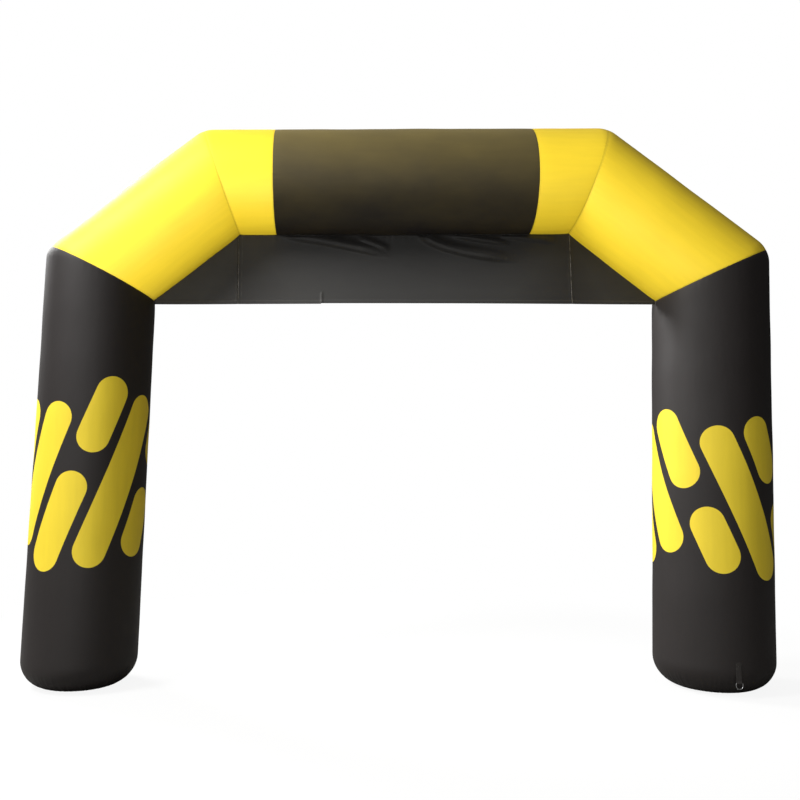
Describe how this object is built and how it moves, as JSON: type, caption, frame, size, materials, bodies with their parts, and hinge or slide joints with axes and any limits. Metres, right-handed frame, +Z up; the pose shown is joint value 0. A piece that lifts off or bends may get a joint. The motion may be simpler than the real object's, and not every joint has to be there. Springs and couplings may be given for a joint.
{
  "type": "inflatable arch",
  "caption": "Blower arch of coated cloth tubes in black and yellow, with slanted shoulders, a level beam, a black banner under the beam and a tie ring at one foot.",
  "frame": {"origin": "on the floor, midway across the arch, in the plane of the tubes' axes", "axes": "+X to the arch's right as seen from the front, +Y to the back, +Z up"},
  "size_m": [6.0625, 0.9089, 4.551],
  "materials": {
    "black_cloth": "black coated polyester cloth, smooth, half gloss",
    "yellow_cloth": "yellow coated polyester cloth, smooth, half gloss",
    "banner_cloth": "black polyester banner cloth, satin",
    "webbing": "black woven webbing, matt",
    "steel": "plated steel wire, bright"
  },
  "bodies": {
    "root": {"leg_left": "black_cloth", "leg_right": "black_cloth", "shoulder_left": "yellow_cloth", "shoulder_right": "yellow_cloth", "beam_end_left": "yellow_cloth", "beam_end_right": "yellow_cloth", "beam_middle": "black_cloth", "banner_middle": "banner_cloth", "banner_gore_left": "banner_cloth", "banner_gore_right": "banner_cloth", "ring_tab": "webbing", "tie_ring": "steel"}
  },
  "joints": []
}
